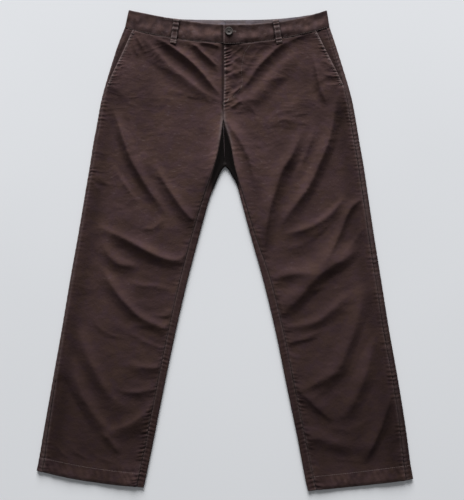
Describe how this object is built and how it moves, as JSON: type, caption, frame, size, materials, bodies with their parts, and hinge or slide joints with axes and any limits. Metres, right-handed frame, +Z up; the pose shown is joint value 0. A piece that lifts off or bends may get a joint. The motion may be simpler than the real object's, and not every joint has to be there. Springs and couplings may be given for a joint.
{
  "type": "trousers",
  "caption": "Straight twill trousers laid flat with the front up: front and back leg panels, waistband with button, belt loops, slant pockets and closed fly.",
  "frame": {"origin": "centre of the bounding box's bottom face, on the surface that the trousers lie on", "axes": "+X to the right as seen from above, +Y towards the waist, +Z up from the surface"},
  "size_m": [0.844, 1.079, 0.0135],
  "materials": {
    "twill": "washed cotton twill, matt",
    "waistband": "washed cotton twill, matt",
    "button": "satin"
  },
  "bodies": {
    "root": {"front_left": "twill", "front_right": "twill", "back_left": "twill", "back_right": "twill", "waistband_left": "waistband", "waistband_right": "waistband", "pocket_facing_left": "twill", "pocket_facing_right": "twill", "belt_loop_left": "waistband", "belt_loop_right": "waistband", "button": "button"}
  },
  "joints": []
}
